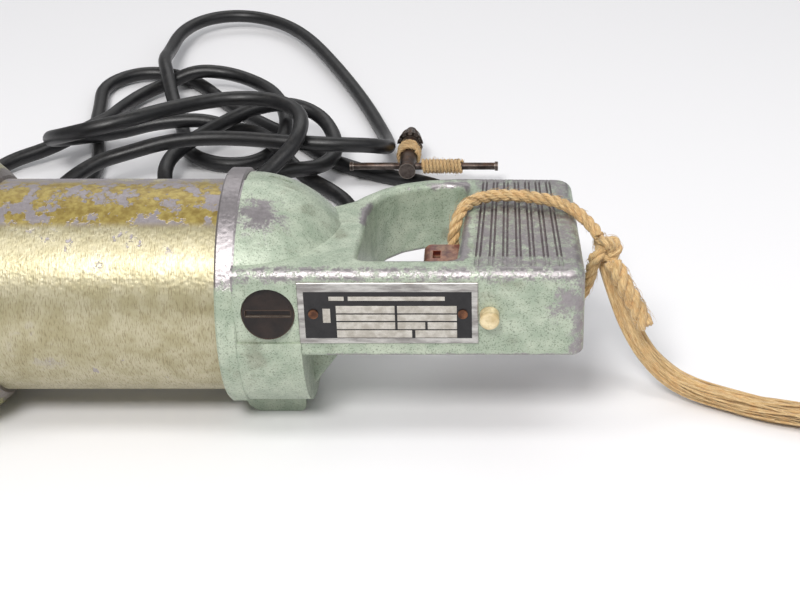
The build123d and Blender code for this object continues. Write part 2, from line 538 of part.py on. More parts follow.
# Moulded round plug with two pins, on the end of the cable.
PLUG_Y, PLUG_Z = CABLE_ROUTE[-1][1:]
PLUG_REAR_X = CABLE_ROUTE[-1][0]
PLUG_FACE_X = PLUG_REAR_X - 42
PIN_SPACING = 19.0
PIN_R = 2.4
PIN_LENGTH = 19.0
PLUG_PROFILE = [
    (0, 0), (0, 5.5), (-9, 6.5), (-20, 14), (-27, 18), (-30, 19.2), (-40, 19.2), (-42, 18), (-42, 0),
]
plug_outline = Polyline(*[(PLUG_REAR_X + x, radius) for x, radius in PLUG_PROFILE], close=True)
plug = Pos(0, PLUG_Y, PLUG_Z) * revolve(make_face(plug_outline), Axis.X)
pins = []
for side in (-0.5, 0.5):
    pin_y = PLUG_Y + side * PIN_SPACING
    plug -= rod(PLUG_FACE_X - 1, PLUG_FACE_X + 10, PIN_R, pin_y, PLUG_Z)
    shaft = rod(PLUG_FACE_X - PIN_LENGTH + 2, PLUG_FACE_X + 10, PIN_R, pin_y, PLUG_Z)
    tip = Pos(PLUG_FACE_X - PIN_LENGTH + 2, pin_y, PLUG_Z) * Sphere(PIN_R)
    pins.append(shaft + tip)
parts["plug_body"] = plug
parts["plug_pins"] = Compound(pins)

# Chuck key lying over the cable: a shank along Y with a toothed bevel head and a sliding bar.
KEY_X, KEY_Y, KEY_Z = 100.5, 186.0, 12.6
KEY_SHANK_R = 4.2
KEY_BAR_R = 1.8
KEY_HEAD_Y = 213.0
KEY_TEETH = 11
key = along_y(KEY_Y - 6, KEY_HEAD_Y, KEY_SHANK_R, KEY_X, KEY_Z)
cone = Rot(-90, 0, 0) * Cone(6.7, 5.2, 8)
key += Pos(KEY_X, KEY_HEAD_Y + 4, KEY_Z) * cone
key += along_y(KEY_HEAD_Y + 8, KEY_HEAD_Y + 15, 2.9, KEY_X, KEY_Z)
for tooth in range(KEY_TEETH):
    gap = Rot(0, 360 * tooth / KEY_TEETH, 0) * (Pos(0, 0, 6.8) * Box(1.7, 18, 3.2))
    key -= Pos(KEY_X, KEY_HEAD_Y + 4, KEY_Z) * gap
key -= rod(KEY_X - 10, KEY_X + 10, KEY_BAR_R, KEY_Y, KEY_Z)
bar = rod(71.6, 146, KEY_BAR_R, KEY_Y, KEY_Z)
for stop_x in (72.4, 145.2):
    bar += rod(stop_x - 0.8, stop_x + 0.8, KEY_BAR_R + 0.5, KEY_Y, KEY_Z)
parts["key_body"] = key
parts["key_bar"] = bar

# Twine wound round the key's shank and along its bar, which ties the key to the cable.
tie = along_y(194.8, 206, KEY_SHANK_R + 2.1, KEY_X, KEY_Z)
tie -= along_y(192, 208, KEY_SHANK_R + 0.1, KEY_X, KEY_Z)
wrap = rod(107, 129, KEY_BAR_R + 2.1, KEY_Y, KEY_Z) - rod(106, 130, KEY_BAR_R + 0.1, KEY_Y, KEY_Z)
link = cord([(103, 198, 18.8), (108.5, 194, 17.6), (113, 187.5, 15.3)], 1.9)
parts["twine_tie"] = tie + link + wrap

# Jute twine looped once round the grip, knotted behind it; the doubled end frays out on the bench.
TWINE_R = 2.5
LOOP_ROUTE = [
    (183.5, -4.5, 65), (180.9, -4, 40.6), (155, -2, 39), (129.4, 0, 40.6), (128.5, 1, 56), (128.8, 3, 69),
    (131.4, 9.5, 77), (137.5, 17, 78.3), (147, 21, 78), (159, 18, 78.6), (170, 13.5, 78.6),
    (179.5, 5, 77), (185, -2, 71.5),
]
FOLD_ROUTE = [(190, -8.5, 64), (195, -10, 54), (199.5, -12.5, 46), (203, -14.5, 39)]
TAIL_ROUTE = [
    (188, 1.5, 60), (192.5, 0.5, 45), (198.5, 0, 30), (207, -2, 16), (221, -8, 6.5),
    (240, -17, 5.2), (262, -26, 5.2), (284, -32, 5.2), (306, -36, 5.2),
]
parts["twine_loop"] = cord(LOOP_ROUTE, TWINE_R, tightest=3.6)
parts["twine_knot"] = Pos(187.5, -3.5, 66.5) * (Rot(0, 35, 0) * scale(Sphere(1), by=(6.2, 5.6, 8.2)))
parts["twine_fold"] = cord(FOLD_ROUTE, 4.0)
parts["twine_tail"] = cord(TAIL_ROUTE, 5.0)

# The tool without its free cable, key and twine is centred on the origin, standing on the bench.
TO_ORIGIN = Pos(0.386, -7.25, 0)

os.makedirs("parts", exist_ok=True)
for name, shape in parts.items():
    export_step(TO_ORIGIN * shape, f"parts/{name}.step")
print("nodes", len(parts))
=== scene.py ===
import math
import random

import bmesh
import bpy
import mathutils
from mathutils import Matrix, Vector


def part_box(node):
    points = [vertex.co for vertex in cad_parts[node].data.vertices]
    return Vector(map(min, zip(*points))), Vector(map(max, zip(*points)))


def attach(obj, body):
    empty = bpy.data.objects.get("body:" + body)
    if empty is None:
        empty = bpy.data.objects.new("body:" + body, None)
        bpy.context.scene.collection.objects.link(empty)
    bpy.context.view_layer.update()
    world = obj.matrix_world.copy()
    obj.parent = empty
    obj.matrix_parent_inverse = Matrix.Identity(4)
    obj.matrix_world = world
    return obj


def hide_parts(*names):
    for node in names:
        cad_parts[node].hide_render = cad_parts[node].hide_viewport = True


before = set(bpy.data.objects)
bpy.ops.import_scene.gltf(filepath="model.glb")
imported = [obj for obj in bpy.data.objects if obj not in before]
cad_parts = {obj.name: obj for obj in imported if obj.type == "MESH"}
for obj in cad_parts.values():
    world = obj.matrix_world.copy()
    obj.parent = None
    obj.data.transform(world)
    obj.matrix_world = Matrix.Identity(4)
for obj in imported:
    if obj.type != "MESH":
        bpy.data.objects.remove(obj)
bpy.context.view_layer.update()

# part.py moves the tool by this much to centre it on the origin (millimetres).
SHIFT = Vector((0.386, -7.25, 0.0))
AXIS_Z = 49.5
BASE = "tool"


def row(point):
    """A point in the tool's own millimetres, as metres in the row frame."""
    return (Vector(point) + SHIFT) * 0.001


# ------------------------------------------------------------------ camera
camera_data = bpy.data.cameras.new("camera")
camera_data.lens = 72.0
camera_data.sensor_width = 36.0
camera_data.shift_x = -0.125
camera = bpy.data.objects.new("camera", camera_data)
camera.location = row((147.0, -544.9, 356.8))
camera.rotation_euler = (math.radians(60), 0, 0)
bpy.context.scene.collection.objects.link(camera)
bpy.context.scene.camera = camera


def look_at(obj, target):
    obj.rotation_euler = (Vector(target) - obj.location).to_track_quat("-Z", "Y").to_euler()


def area_light(name, place, target, size, power, colour=(1, 1, 1)):
    data = bpy.data.lights.new(name, "AREA")
    data.shape = "RECTANGLE"
    data.size, data.size_y = size
    data.energy = power
    data.color = colour
    light = bpy.data.objects.new(name, data)
    light.location = place
    look_at(light, target)
    bpy.context.scene.collection.objects.link(light)
    return light


area_light("key", (-0.12, -1.0, 1.15), (0.05, 0.0, 0.05), (0.42, 0.3), 15.5, (1.0, 0.985, 0.965))
area_light("overhead", (0.0, -0.42, 1.25), (0.0, 0.0, 0.08), (1.6, 0.3), 7, (1.0, 0.99, 0.98))
area_light("fill", (1.1, -0.3, 1.0), (0.05, 0.0, 0.05), (1.2, 1.0), 3.5, (0.96, 0.98, 1.0))
area_light("back", (0.1, 1.3, 1.2), (0.05, 0.1, 0.05), (1.4, 0.9), 6)

world = bpy.data.worlds.new("world")
world.use_nodes = True
background = world.node_tree.nodes["Background"]
background.inputs["Color"].default_value = (0.93, 0.94, 0.96, 1)
background.inputs["Strength"].default_value = 0.32
bpy.context.scene.world = world
bpy.context.scene.view_settings.view_transform = "Standard"

# ------------------------------------------------------------------ cords
def nurbs(name, route, radius, sides=6):
    """A round cord on one smooth NURBS spline with the route's points as control points."""
    curve = bpy.data.curves.new(name, "CURVE")
    curve.dimensions = "3D"
    spline = curve.splines.new("NURBS")
    spline.points.add(len(route) - 1)
    for control, point in zip(spline.points, route):
        control.co = (*row(point), 1)
        control.radius = radius * 0.001
    spline.order_u = 3
    spline.use_endpoint_u = True
    spline.resolution_u = 6
    curve.bevel_depth = 1.0 if radius else 0.0
    curve.bevel_resolution = sides
    curve.use_fill_caps = True
    obj = bpy.data.objects.new(name, curve)
    bpy.context.scene.collection.objects.link(obj)
    return obj


CABLE_ROUTE = [
    (150, 64, 51), (150, 77.5, 51), (148, 101, 37), (141, 135, 17.5), (126, 166, 6.5),
    (110, 185, 4), (84, 194, 4), (58, 211, 4), (39, 238, 4), (18, 257, 4), (-7, 287, 4),
    (-25, 315, 4), (-42, 329, 4), (-59, 330, 5), (-73, 322, 4.5), (-80, 306, 4), (-76, 284, 4),
    (-72, 251, 4), (-61, 214, 4), (-60, 188, 4.5), (-70, 168, 4.5), (-89, 161, 4),
    (-107, 169.5, 4), (-114.5, 188, 4), (-107, 206.5, 5.5), (-87, 218, 8), (-70, 233, 13),
    (-63, 250, 11), (-63, 276, 5.5), (-55, 298, 5), (-42, 309, 7), (-27, 312, 13.5),
    (-10, 314, 11.5), (6, 307, 9.5), (21, 288, 10), (30, 258, 13), (34, 238, 12.5),
    (32, 220, 7), (20, 207, 4), (2.5, 204.5, 4.5), (-13, 213, 5.5), (-20, 229, 5),
    (-23, 247, 4), (-34, 278, 9), (-41, 302, 16.5), (-46, 320, 17), (-48, 347, 11),
    (-48, 381, 10), (-39, 404, 9.5), (-23, 415, 9), (-4, 415, 8), (15, 403, 7), (33, 376, 7),
    (53, 332, 6), (72, 284, 5), (85, 243, 4), (89.5, 215, 10.5), (89.5, 197, 18), (82, 184, 25),
    (66, 177, 28.5), (42, 179, 29), (10, 187, 28), (-17, 187, 26.5), (-40, 183, 21),
    (-54, 178, 18.5), (-68, 160, 14), (-72, 139, 9), (-62, 120, 5), (-42, 111, 4),
    (-22, 120, 4), (-14, 141, 4.5), (-18, 166, 7), (-23, 190, 11.5), (-16, 210, 13.5),
    (1, 227, 18), (21, 241, 22.5), (39, 242, 22.5), (53, 235, 18.5), (61, 218, 15.5),
    (64, 197, 14), (57, 181, 14), (42, 170, 18), (25, 161, 16), (17, 146, 12.5), (19, 129, 9),
    (29, 116, 6), (46, 111, 4.5), (62, 117, 4), (74, 131, 4), (76, 153, 4), (66, 172, 4),
    (47, 186, 7.5), (34, 201, 15), (23, 224, 13.5), (7, 237, 10), (-12, 242, 14),
    (-37, 240, 12.5), (-53, 234, 10), (-69, 220, 13.5), (-80, 207, 17.5), (-80, 191, 25.5),
    (-69, 176, 33.5), (-54, 170, 39.5), (-36, 174, 42.5), (-21, 189, 41.5), (-5, 208, 38),
    (13, 215, 37.5), (33, 211, 38), (46, 198, 37.5), (50, 178, 38.5), (47, 162, 34),
    (34, 149, 25.5), (24, 131, 22), (10, 104, 23.5), (-24, 84, 20), (-59, 84, 20),
]
LOOP_ROUTE = [
    (183.5, -4.5, 65), (180.9, -4, 40.6), (155, -2, 39), (129.4, 0, 40.6), (128.5, 1, 56), (128.8, 3, 69),
    (131.4, 9.5, 77), (137.5, 17, 78.3), (147, 21, 78), (159, 18, 78.6), (170, 13.5, 78.6),
    (179.5, 5, 77), (185, -2, 71.5),
]
FOLD_ROUTE = [(190, -8.5, 64), (195, -10, 54), (199.5, -12.5, 46), (203, -14.5, 39)]
TAIL_ROUTE = [
    (188, 1.5, 60), (192.5, 0.5, 45), (198.5, 0, 30), (207, -2, 16), (221, -8, 6.5),
    (240, -17, 5.2), (262, -26, 5.2), (284, -32, 5.2), (306, -36, 5.2),
]
cable = nurbs("mains_cable_looks", CABLE_ROUTE, 3.8)
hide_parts("mains_cable")
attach(cable, BASE)


# ------------------------------------------------------------------ shader arithmetic
class Field:
    """A number or vector worked out by shader nodes, so that a pattern reads as arithmetic."""

    def __init__(self, tree, socket):
        self.tree = tree
        self.socket = socket

    def _maths(self, operation, *others, reverse=False):
        node = self.tree.nodes.new("ShaderNodeMath")
        node.operation = operation
        values = [self, *others]
        if reverse:
            values.reverse()
        for slot_socket, value in zip(node.inputs, values):
            feed(self.tree, slot_socket, value)
        return Field(self.tree, node.outputs[0])

    def __add__(self, other):
        return self._maths("ADD", other)

    def __radd__(self, other):
        return self._maths("ADD", other)

    def __sub__(self, other):
        return self._maths("SUBTRACT", other)

    def __rsub__(self, other):
        return self._maths("SUBTRACT", other, reverse=True)

    def __mul__(self, other):
        return self._maths("MULTIPLY", other)

    def __rmul__(self, other):
        return self._maths("MULTIPLY", other)

    def __truediv__(self, other):
        return self._maths("DIVIDE", other)

    def size(self):
        return self._maths("ABSOLUTE")

    def root(self):
        return self._maths("SQRT")

    def most(self, other):
        return self._maths("MAXIMUM", other)

    def angle_from(self, other):
        return self._maths("ARCTAN2", other)

    def step(self, low, high):
        """0 below low, 1 above high, smooth between; the other way round if high is less."""
        node = self.tree.nodes.new("ShaderNodeMapRange")
        node.interpolation_type = "SMOOTHSTEP"
        feed(self.tree, node.inputs["Value"], self)
        if low < high:
            node.inputs["From Min"].default_value = low
            node.inputs["From Max"].default_value = high
        else:
            node.inputs["From Min"].default_value = high
            node.inputs["From Max"].default_value = low
            node.inputs["To Min"].default_value = 1
            node.inputs["To Max"].default_value = 0
        return Field(self.tree, node.outputs["Result"])


def feed(tree, socket, value):
    """Link a field to a socket, or set the socket's own value."""
    if isinstance(value, Field):
        tree.links.new(value.socket, socket)
    elif isinstance(value, (tuple, list)) and socket.type == "RGBA" and len(value) == 3:
        socket.default_value = (*value, 1)
    else:
        socket.default_value = value


def linear(red, green, blue):
    """A screen colour, 0 to 255, as linear light."""
    return tuple((value / 255) ** 2.2 for value in (red, green, blue))


class Finish:
    """A material whose patterns are worked out from the tool's own millimetres."""

    def __init__(self, name):
        self.material = bpy.data.materials.new(name)
        self.material.use_nodes = True
        self.tree = self.material.node_tree
        self.shader = self.tree.nodes["Principled BSDF"]
        coordinates = self.tree.nodes.new("ShaderNodeTexCoord")
        place = self.tree.nodes.new("ShaderNodeVectorMath")
        place.operation = "MULTIPLY_ADD"
        self.tree.links.new(coordinates.outputs["Object"], place.inputs[0])
        place.inputs[1].default_value = (1000, 1000, 1000)
        place.inputs[2].default_value = tuple(-SHIFT)
        self.place = Field(self.tree, place.outputs[0])
        split = self.tree.nodes.new("ShaderNodeSeparateXYZ")
        feed(self.tree, split.inputs[0], self.place)
        self.x, self.y, self.z = (Field(self.tree, output) for output in split.outputs)

    def stretched(self, x, y, z, source=None):
        """The place scaled unevenly, for a grain that runs one way."""
        node = self.tree.nodes.new("ShaderNodeVectorMath")
        node.operation = "MULTIPLY"
        feed(self.tree, node.inputs[0], source or self.place)
        node.inputs[1].default_value = (x, y, z)
        return Field(self.tree, node.outputs[0])

    def noise(self, feature, detail=2.0, roughness=0.5, source=None):
        """Noise with features about this many millimetres across, from 0 to 1."""
        node = self.tree.nodes.new("ShaderNodeTexNoise")
        feed(self.tree, node.inputs["Vector"], source or self.place)
        node.inputs["Scale"].default_value = 1 / feature
        node.inputs["Detail"].default_value = detail
        node.inputs["Roughness"].default_value = roughness
        return Field(self.tree, node.outputs["Fac"])

    def dimples(self, feature):
        """Smooth rounded cells about this many millimetres across, as hammered paint has."""
        node = self.tree.nodes.new("ShaderNodeTexVoronoi")
        node.feature = "SMOOTH_F1"
        feed(self.tree, node.inputs["Vector"], self.place)
        node.inputs["Scale"].default_value = 1 / feature
        node.inputs["Randomness"].default_value = 1.0
        return Field(self.tree, node.outputs["Distance"])

    def attribute(self, name):
        """What a mesh's own layer of this name says."""
        node = self.tree.nodes.new("ShaderNodeAttribute")
        node.attribute_name = name
        return Field(self.tree, node.outputs["Vector"])

    def distance(self, x, y, z):
        """How far a point is from this one, in millimetres."""
        across, along, up = self.x - x, self.y - y, self.z - z
        return (across * across + along * along + up * up).root()

    def facing_up(self):
        """1 on what faces up, where dust settles, and 0 on the sides."""
        geometry = self.tree.nodes.new("ShaderNodeNewGeometry")
        split = self.tree.nodes.new("ShaderNodeSeparateXYZ")
        self.tree.links.new(geometry.outputs["Normal"], split.inputs[0])
        return Field(self.tree, split.outputs[2]).step(0.35, 0.95)

    def edge(self, radius):
        """About 1 along a sharp edge and 0 away from it."""
        bevel = self.tree.nodes.new("ShaderNodeBevel")
        bevel.samples = 6
        bevel.inputs["Radius"].default_value = radius * 0.001
        geometry = self.tree.nodes.new("ShaderNodeNewGeometry")
        dot = self.tree.nodes.new("ShaderNodeVectorMath")
        dot.operation = "DOT_PRODUCT"
        self.tree.links.new(bevel.outputs[0], dot.inputs[0])
        self.tree.links.new(geometry.outputs["Normal"], dot.inputs[1])
        return Field(self.tree, dot.outputs["Value"]).step(0.995, 0.93)

    def mix(self, amount, first, second):
        """first where amount is 0, second where it is 1; colours or fields of colour."""
        node = self.tree.nodes.new("ShaderNodeMix")
        node.data_type = "RGBA"
        feed(self.tree, node.inputs[0], amount)
        feed(self.tree, node.inputs[6], first)
        feed(self.tree, node.inputs[7], second)
        return Field(self.tree, node.outputs[2])

    def blend(self, amount, first, second):
        """The same for plain numbers."""
        if isinstance(first, Field) or isinstance(second, Field):
            return first + (second - first) * amount
        return amount * (second - first) + first

    def bump(self, *layers):
        """Each layer is a height field and its depth in millimetres."""
        normal = None
        for height, depth in layers:
            node = self.tree.nodes.new("ShaderNodeBump")
            node.inputs["Distance"].default_value = depth * 0.001
            node.inputs["Strength"].default_value = 1.0
            feed(self.tree, node.inputs["Height"], height)
            if normal is not None:
                self.tree.links.new(normal, node.inputs["Normal"])
            normal = node.outputs["Normal"]
        self.tree.links.new(normal, self.shader.inputs["Normal"])

    def set(self, **values):
        """Set or feed the shader's inputs, spaces in their names as underscores; the material."""
        for name, value in values.items():
            feed(self.tree, self.shader.inputs[name.replace("_", " ")], value)
        return self.material


def enamel(name, paint, speck, deep, worn, wear, grooves=None):
    """Hammered enamel with dark specks, worn through to the metal where wear says so."""
    finish = Finish(name)
    dimples = finish.dimples(1.7)
    specks = finish.noise(0.6, 3, 0.65).step(0.53, 0.64)
    clouds = finish.noise(7, 3, 0.6)
    colour = finish.mix(clouds.step(0.3, 0.7), linear(*deep), linear(*paint))
    colour = finish.mix(specks * 0.5, colour, linear(*speck))
    grime = finish.noise(16, 4, 0.65).step(0.56, 0.74) * 0.35
    colour = finish.mix(grime, colour, linear(96, 84, 66))
    bare = wear(finish)
    metal = finish.mix(finish.noise(2.2, 4, 0.7), linear(*worn), linear(*(c * 0.72 for c in worn)))
    colour = finish.mix(bare, colour, metal)
    if grooves:
        # the finger grooves drawn in a darker colour
        colour = finish.mix(grooves(finish), colour, linear(88, 76, 80))
    finish.bump((dimples, 0.16), (finish.noise(0.5, 2), 0.05), (bare * -1, 0.12))
    return finish.set(
        Base_Color=colour, Metallic=finish.blend(bare, 0.15, 0.8),
        Roughness=finish.blend(bare, 0.34 + specks * 0.2, 0.4) + grime * 0.4, Specular_IOR_Level=0.5)


# The handle shell in the tool's millimetres: its sloping top, its outer faces, its hand opening.
TOP_Z, TOP_SLOPE = 76.14, 0.0759    # at y = 0, and how much it falls for each millimetre of y
NEAR_Y, FAR_Y, END_X = -44.2, 48, 178
SEAM_LIP_Z = 43.0
RING_X = (50.5, 50.9)
OPENING_NEAR_Y, OPENING_GRIP_X = -33.5, 133.3
OPENING_CENTRE, OPENING_RADII = (132, 8), (37, 33.5)


def grip_grooves(finish):
    """Darker colour in the finger grooves: what lies a little under the grip's sloping top."""
    depth = TOP_Z - finish.y * TOP_SLOPE - finish.z
    across = finish.x.step(136, 137) * finish.x.step(173, 172)
    along = finish.y.step(-31, -29) * finish.y.step(45, 43)
    return depth.step(0.15, 0.55) * depth.step(3.0, 2.6) * across * along * 0.85


def shell_wear(finish):
    """Bare metal along the handle's edges, on the end ring's top and in a few rubbed patches."""
    x, y, z = finish.x, finish.y, finish.z
    below_top = (TOP_Z - y * TOP_SLOPE - z).size()
    near = 1 - (below_top + (y - NEAR_Y).size()) / 6.5
    end = 1 - (below_top + (x - END_X).size()) / 6
    corner = 1 - ((x - END_X).size() + (y - NEAR_Y).size()) / 8
    far = 1 - (below_top + (y - FAR_Y).size()) / 6
    left_of_grip = x.step(134.5, 133.5)
    rim_near = 1 - (below_top + (y - OPENING_NEAR_Y).size()) / 3.5 - x.step(104, 96) * 2
    across = (x - OPENING_CENTRE[0]) / OPENING_RADII[0]
    along = (y - OPENING_CENTRE[1]) / OPENING_RADII[1]
    rim_round = 1 - (below_top + ((across * across + along * along).root() - 1).size() * 35) / 4
    rim_grip = 1 - (below_top + (x - OPENING_GRIP_X).size() + ((y - 4).size() - 36).most(0)) / 4
    under = 1 - (z - SEAM_LIP_Z).size() / 3.0 - x.step(84, 80) * 2
    on_ring = x.step(RING_X[1], RING_X[0])
    rims = (rim_near.most(rim_round) * left_of_grip).most(rim_grip)
    handle = near.most(end).most(corner).most(far).most(rims).most(under)
    ring = (z - 67) / 8
    flank = 0.9 - finish.distance(58.5, -20, 90.5) / 17
    rubbed = 0.8 - finish.distance(172, -44, 68) / 17
    boss = 0.95 - finish.distance(61, -15, 16) / 15
    band = 0.75 - finish.distance(62, 34, 84) / 22
    grip = x.step(134, 140) * below_top.step(1.2, 0.6) * 0.56
    worn = finish.blend(on_ring, handle.most(flank).most(rubbed).most(boss).most(band).most(grip), ring)
    chips = finish.noise(4.2, 5, 0.72) * 0.8 + finish.noise(0.9, 2, 0.6) * 0.4
    scattered = finish.noise(2.3, 3, 0.7).step(0.70, 0.735) * 0.8
    return (worn + chips * 1.9 - 1.2).step(0.2, 0.62).most(scattered)


def motor_finish():
    """Champagne hammertone with circumferential grain, gone yellow and flaking on top, with pale bare patches
    in the highlight band that are partly a painted highlight.
    """
    finish = Finish("gold_hammertone_paint")
    turn = (finish.z - AXIS_Z).angle_from(finish.y * -1)
    grain = finish.noise(1, 3, 0.6, source=finish.stretched(2.8, 0.42, 0.42))
    clouds = finish.noise(9, 3, 0.6)
    colour = finish.mix(clouds.step(0.3, 0.7), linear(160, 152, 120), linear(182, 175, 148))
    colour = finish.mix(grain.step(0.5, 0.64) * 0.6, colour, linear(118, 106, 76))
    blobs = finish.noise(9, 4, 0.6) + (finish.noise(1.6, 3, 0.6) - 0.5) * 0.3
    top = turn.step(1.02, 1.12) * turn.step(1.85, 1.72)
    gold = finish.mix(finish.noise(2.5, 3).step(0.3, 0.7), linear(170, 152, 88), linear(138, 118, 64))
    colour = finish.mix(top, colour, gold)
    # Pale bare patches where the highlight falls, 46° to 58° up from the near side: partly wear, partly a
    # painted highlight.
    wear_and_highlight_band = turn.step(0.76, 0.84) * turn.step(1.06, 0.98)
    beyond = turn.step(1.66, 1.85)
    low_patch = (1 - finish.distance(-22, -49, 44) / 17).most(0)
    bare = (top * blobs.step(0.5, 0.44)).most(wear_and_highlight_band * blobs.step(0.585, 0.625))
    bare = bare.most(beyond * blobs.step(0.62, 0.52)).most(low_patch * blobs.step(0.56, 0.60))
    bare = bare.most(blobs.step(0.70, 0.73) * 0.9)
    metal = finish.mix(finish.noise(1.8, 4, 0.7), linear(172, 166, 170), linear(134, 126, 128))
    finish.bump((finish.dimples(1.5), 0.11), (grain, 0.08), (bare * -1, 0.12))
    return finish.set(
        Base_Color=finish.mix(bare, colour, metal), Metallic=finish.blend(bare, 0.42, 0.6),
        Roughness=finish.blend(bare, 0.3 + grain * 0.14, 0.44), Specular_IOR_Level=0.5)


GEAR_REAR_X = -44


def gear_wear(finish):
    """Bare metal round the gear housing's rear lip, on its sharp edges and in a few chips."""
    chips = finish.noise(4.5, 5, 0.68)
    rim = 1 - (finish.x - GEAR_REAR_X).size() / 5
    return (rim + chips * 1.5 - 0.85).step(0.3, 0.45).most(finish.edge(1.5) * chips.step(0.42, 0.55))


def plain(name, light, dark, rough, metallic=0.0, feature=3.0, depth=0.05, dust=0.0,
          dust_colour=(190, 180, 162), grain=(1, 1, 1), edge=None, coat=0.0):
    """One material with fine and broad variation, dust on what faces up and rubbed edges."""
    finish = Finish(name)
    source = finish.stretched(*grain)
    broad = finish.noise(feature * 3, 3, 0.6, source=source)
    fine = finish.noise(feature * 0.3, 3, 0.6, source=source)
    colour = finish.mix(broad.step(0.3, 0.7), linear(*light), linear(*dark))
    colour = finish.mix(fine.step(0.56, 0.7) * 0.35, colour, linear(*(c * 0.7 for c in dark)))
    if edge:
        colour = finish.mix(finish.edge(0.8) * 0.6, colour, linear(*edge))
    roughness = rough + (fine - 0.5) * 0.25
    if dust:
        settled = finish.facing_up() * finish.noise(feature * 1.6, 4, 0.7).step(0.36, 0.66) * dust
        colour = finish.mix(settled, colour, linear(*dust_colour))
        roughness = roughness + settled * 0.35
    finish.bump((fine, depth), (broad, depth * 2))
    values = {"Base_Color": colour, "Metallic": metallic, "Roughness": roughness}
    if coat:
        values["Coat_Weight"] = coat
    return finish.set(**values)


def twine_finish():
    """Jute: the fibres' own colour and shade come from the twine's mesh."""
    finish = Finish("jute_twine")
    shade = finish.attribute("fibre")
    streaks = finish.noise(0.5, 3, 0.6, source=shade)
    tint = finish.noise(4, 3, 0.6)
    colour = finish.mix(streaks.step(0.3, 0.7), linear(166, 128, 80), linear(226, 198, 148))
    colour = finish.mix(tint.step(0.45, 0.7) * 0.4, colour, linear(204, 154, 96))
    colour = finish.mix(finish.noise(1.2, 3, 0.7).step(0.62, 0.75) * 0.5, colour, linear(240, 222, 184))
    finish.bump((streaks, 0.25), (finish.noise(0.4, 2), 0.08))
    return finish.set(Base_Color=colour, Roughness=0.85, Sheen_Weight=0.25)


SILVER, DULL = (196, 194, 190), (140, 137, 134)
MATERIALS = {
    "green_hammertone": enamel("green_enamel", (176, 186, 167), (62, 70, 58), (150, 163, 144),
                               (170, 164, 166), wear=shell_wear, grooves=grip_grooves),
    "gold_hammertone": motor_finish(),
    "olive_hammertone": enamel("olive_enamel", (150, 146, 104), (66, 62, 40), (128, 124, 84),
                               (152, 144, 140), wear=gear_wear),
    "bare_aluminium": plain("bare_aluminium_cast", (168, 164, 160), (122, 117, 114), 0.5, 0.7, 2.0, 0.08,
                            dust=0.3, edge=SILVER),
    "copper_rivet": plain("copper_rivet_metal", (124, 84, 60), (74, 48, 36), 0.45, 0.6, 1.0, 0.03),
    "bakelite_dark": plain("bakelite_brown_black", (44, 34, 30), (24, 19, 18), 0.33, 0, 2.5, 0.03,
                           dust=0.45, edge=(86, 68, 54), coat=0.2),
    "bakelite_red": plain("bakelite_red_brown", (96, 30, 20), (62, 20, 14), 0.38, 0, 2.5, 0.03,
                          dust=0.5, dust_colour=(176, 140, 112), edge=(150, 84, 60), coat=0.15),
    "button_cream": plain("button_cream_plastic", (222, 206, 168), (186, 164, 120), 0.42, 0, 1.4, 0.04,
                          dust=0.4, dust_colour=(110, 92, 66)),
    "black_rubber": plain("black_rubber_cable", (27, 27, 29), (16, 16, 18), 0.4, 0, 2.2, 0.04,
                          dust=0.12, dust_colour=(96, 92, 86)),
    "plug_rubber": plain("plug_rubber_moulded", (40, 38, 38), (24, 23, 23), 0.52, 0, 2.0, 0.06,
                         dust=0.5, dust_colour=(140, 130, 118), edge=(78, 74, 70)),
    "moulded_black": plain("moulded_black_plastic", (38, 37, 37), (22, 21, 22), 0.45, 0, 2.0, 0.05,
                           dust=0.4, edge=(80, 76, 72)),
    "plated_brass": plain("plated_brass_metal", (206, 180, 116), (150, 124, 70), 0.3, 0.95, 1.6, 0.02),
    "key_steel": plain("key_steel_blackened", (92, 84, 80), (48, 42, 40), 0.42, 0.85, 1.8, 0.08,
                       dust=0.35, dust_colour=(124, 84, 56), edge=(150, 142, 134)),
    "chuck_steel": plain("chuck_steel_turned", (172, 170, 168), (112, 108, 106), 0.32, 0.92, 2.4, 0.03,
                         dust=0.25, dust_colour=(110, 88, 66), edge=SILVER, grain=(3.0, 0.3, 0.3)),
    "hard_steel": plain("hard_steel_ground", (180, 178, 176), (120, 118, 116), 0.28, 0.95, 2.0, 0.02,
                        grain=(3.0, 0.4, 0.4)),
    "screw_steel": plain("screw_steel_zinc", (160, 156, 150), (96, 90, 84), 0.4, 0.85, 1.2, 0.04,
                         dust=0.3, dust_colour=(96, 74, 52), edge=SILVER),
    "sintered_bronze": plain("sintered_bronze_bush", (172, 132, 80), (116, 84, 50), 0.5, 0.85, 0.8, 0.05),
    "core_steel": plain("core_steel_laminations", (104, 102, 102), (66, 64, 64), 0.5, 0.8, 1.5, 0.06,
                        grain=(6.0, 0.3, 0.3)),
    "enamelled_copper": plain("enamelled_copper_wire", (160, 84, 40), (104, 50, 24), 0.3, 0.6, 0.8, 0.12,
                              grain=(0.4, 2.5, 2.5), coat=0.5),
    "commutator_copper": plain("commutator_copper_bars", (196, 122, 82), (136, 78, 52), 0.32, 0.9, 1.2, 0.03),
    "fan_plastic": plain("fan_brown_plastic", (84, 52, 36), (54, 34, 24), 0.45, 0, 2.2, 0.04),
    "carbon": plain("carbon_block", (44, 44, 46), (28, 28, 30), 0.6, 0.1, 0.8, 0.05),
    "nameplate_metal": plain("nameplate_silver", SILVER, DULL, 0.36, 0.85, 1.6, 0.03, dust=0.0,
                             grain=(0.5, 1, 2.5)),
    "jute": twine_finish(),
}
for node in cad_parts.values():
    for holder in node.material_slots:
        holder.material = MATERIALS.get(holder.material.name, holder.material)
cable.data.materials.append(MATERIALS["black_rubber"])

